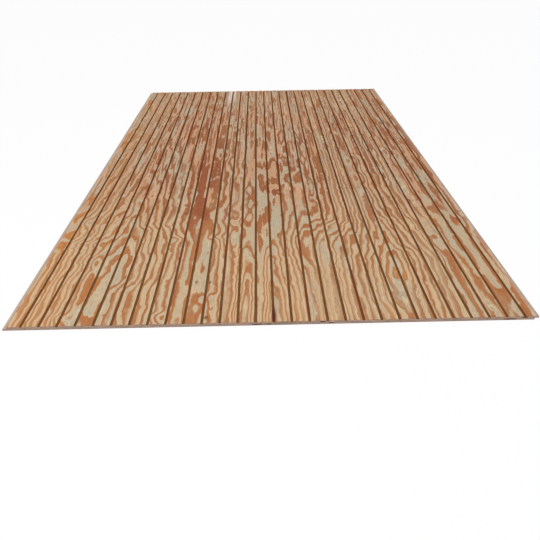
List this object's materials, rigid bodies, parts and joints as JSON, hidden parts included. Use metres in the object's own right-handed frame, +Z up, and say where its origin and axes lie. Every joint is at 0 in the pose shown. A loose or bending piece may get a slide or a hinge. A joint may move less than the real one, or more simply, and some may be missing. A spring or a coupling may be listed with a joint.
{
  "type": "grooved plywood sheet",
  "caption": "Softwood plywood panelling sheet with lengthwise face grooves and shiplapped long edges.",
  "frame": {"origin": "on the underside, at the middle of the overall width and length", "axes": "+X across the sheet towards the face-side lip, +Y along the grooves, +Z up through the thickness, out of the grooved face"},
  "size_m": [1.23, 2.44, 0.009],
  "materials": {
    "softwood_plywood": "rotary-cut softwood veneer, unfinished, with dark brown grooves"
  },
  "bodies": {
    "root": {"plywood_sheet": "softwood_plywood"}
  },
  "joints": []
}
